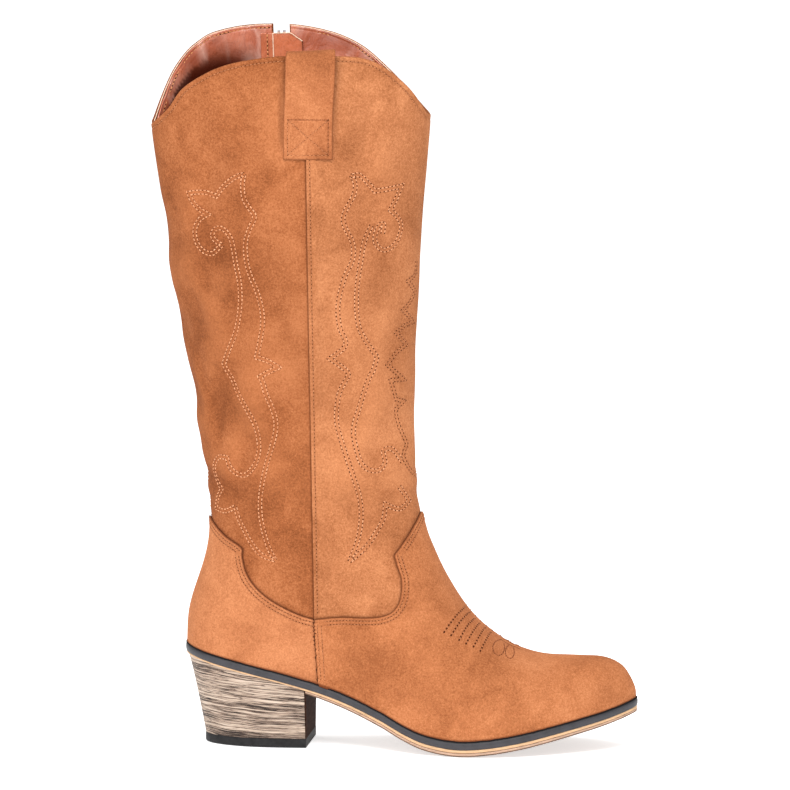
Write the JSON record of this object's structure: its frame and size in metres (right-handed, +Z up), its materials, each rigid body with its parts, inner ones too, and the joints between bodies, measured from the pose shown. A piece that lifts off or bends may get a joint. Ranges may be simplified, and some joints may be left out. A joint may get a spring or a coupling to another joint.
{
  "type": "cowboy boot",
  "caption": "Knee-high western boot with a scalloped topline, pull strap, inner side zip, welted sole and stacked block heel.",
  "frame": {"origin": "middle of the heel's tread face, on the ground", "axes": "+X towards the toe, +Y towards the inner (medial) side of this right boot, +Z up the shaft"},
  "size_m": [0.2982, 0.0964, 0.4394],
  "materials": {
    "suede": "short napped faux suede, camel tan, matt",
    "suede_back": "short napped faux suede, a darker tan, matt",
    "lining": "coated lining, red-brown, semi-gloss with fine creases",
    "sock": "thin coated sock over foam, semi-matt",
    "stiffener": "thermoplastic-impregnated board, matt",
    "fibreboard": "cellulose fibreboard, matt",
    "filler": "foam and cork filler, matt",
    "steel": "plain bright steel",
    "rivet": "plain brass",
    "welt": "black rubber strip, low sheen",
    "midsole": "light tan moulded layer, matt",
    "outsole": "tan tread rubber with a darker bottom, matt",
    "heel_core": "dark brown moulded heel, matt",
    "heel_veneer": "wood-grain wrap, cream with grey-brown streaks, satin",
    "top_lift": "black rubber, matt",
    "zip_tape": "woven tape, brown",
    "zip_teeth": "dark nylon coil",
    "zip_metal": "bright nickel plate"
  },
  "bodies": {
    "root": {"shaft_front_panel": "suede", "shaft_back_panel": "suede_back", "vamp": "suede", "counter_cover": "suede", "pull_strap": "suede", "shaft_lining_front": "lining", "shaft_lining_back": "lining", "vamp_lining": "lining", "counter_lining": "lining", "zip_guard": "lining", "toe_puff": "stiffener", "heel_stiffener": "stiffener", "insole_board": "fibreboard", "sock_lining": "sock", "steel_shank": "steel", "shank_rivets": "rivet", "bottom_filler": "filler", "welt_strip": "welt", "midsole": "midsole", "outsole": "outsole", "heel_block": "heel_core", "heel_wrap": "heel_veneer", "top_lift": "top_lift", "top_lift_dowels": "steel", "heel_screw": "steel", "heel_nails": "steel", "zip_tape_front": "zip_tape", "zip_tape_back": "zip_tape", "zip_teeth_front": "zip_teeth", "zip_teeth_back": "zip_teeth", "zip_top_stops": "zip_metal", "zip_bottom_stop": "zip_metal"},
    "slider": {"zip_slider": "zip_metal"},
    "puller": {"zip_puller": "zip_metal"}
  },
  "joints": [
    {"name": "zip_slide", "type": "slide", "parent": "root", "child": "slider", "axis": [-0.0358, 0.0179, 0.9992], "range_m": [-0.331, 0], "deforming": ["zip_teeth_front", "zip_teeth_back"]},
    {"name": "puller_swing", "type": "hinge", "parent": "slider", "child": "puller", "pos_m": [0.00969, 0.04031, 0.42667], "axis": [0.9975, 0.061, 0.0346], "range_deg": [0, 165]}
  ]
}
